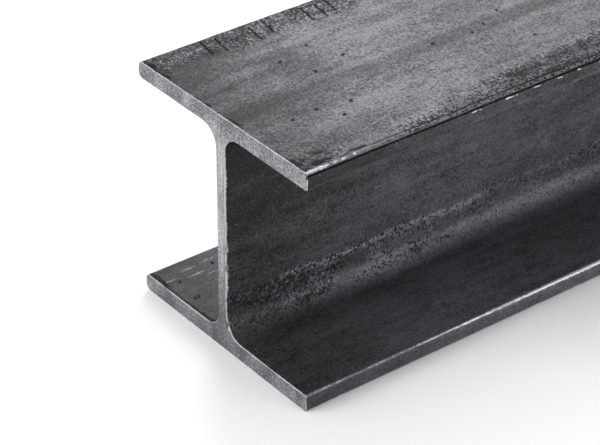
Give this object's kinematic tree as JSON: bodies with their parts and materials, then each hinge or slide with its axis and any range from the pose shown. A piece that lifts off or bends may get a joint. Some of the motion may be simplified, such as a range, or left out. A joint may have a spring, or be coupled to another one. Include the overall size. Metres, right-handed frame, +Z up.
{
  "type": "steel i-beam",
  "caption": "Length of hot-rolled wide-flange steel I-beam with parallel flanges, rounded roots, dark mill scale and bare sawn ends, for columns, frames and lintels.",
  "frame": {"origin": "middle of the underside of the lower flange, halfway along the length", "axes": "+X along the length, +Y across the flanges, +Z up the web; the beam lies on its lower flange and the web is in the plane Y = 0"},
  "size_m": [1, 0.125, 0.125],
  "materials": {
    "mill_scale_steel": "matte"
  },
  "bodies": {
    "root": {"i_beam": "mill_scale_steel"}
  },
  "joints": []
}
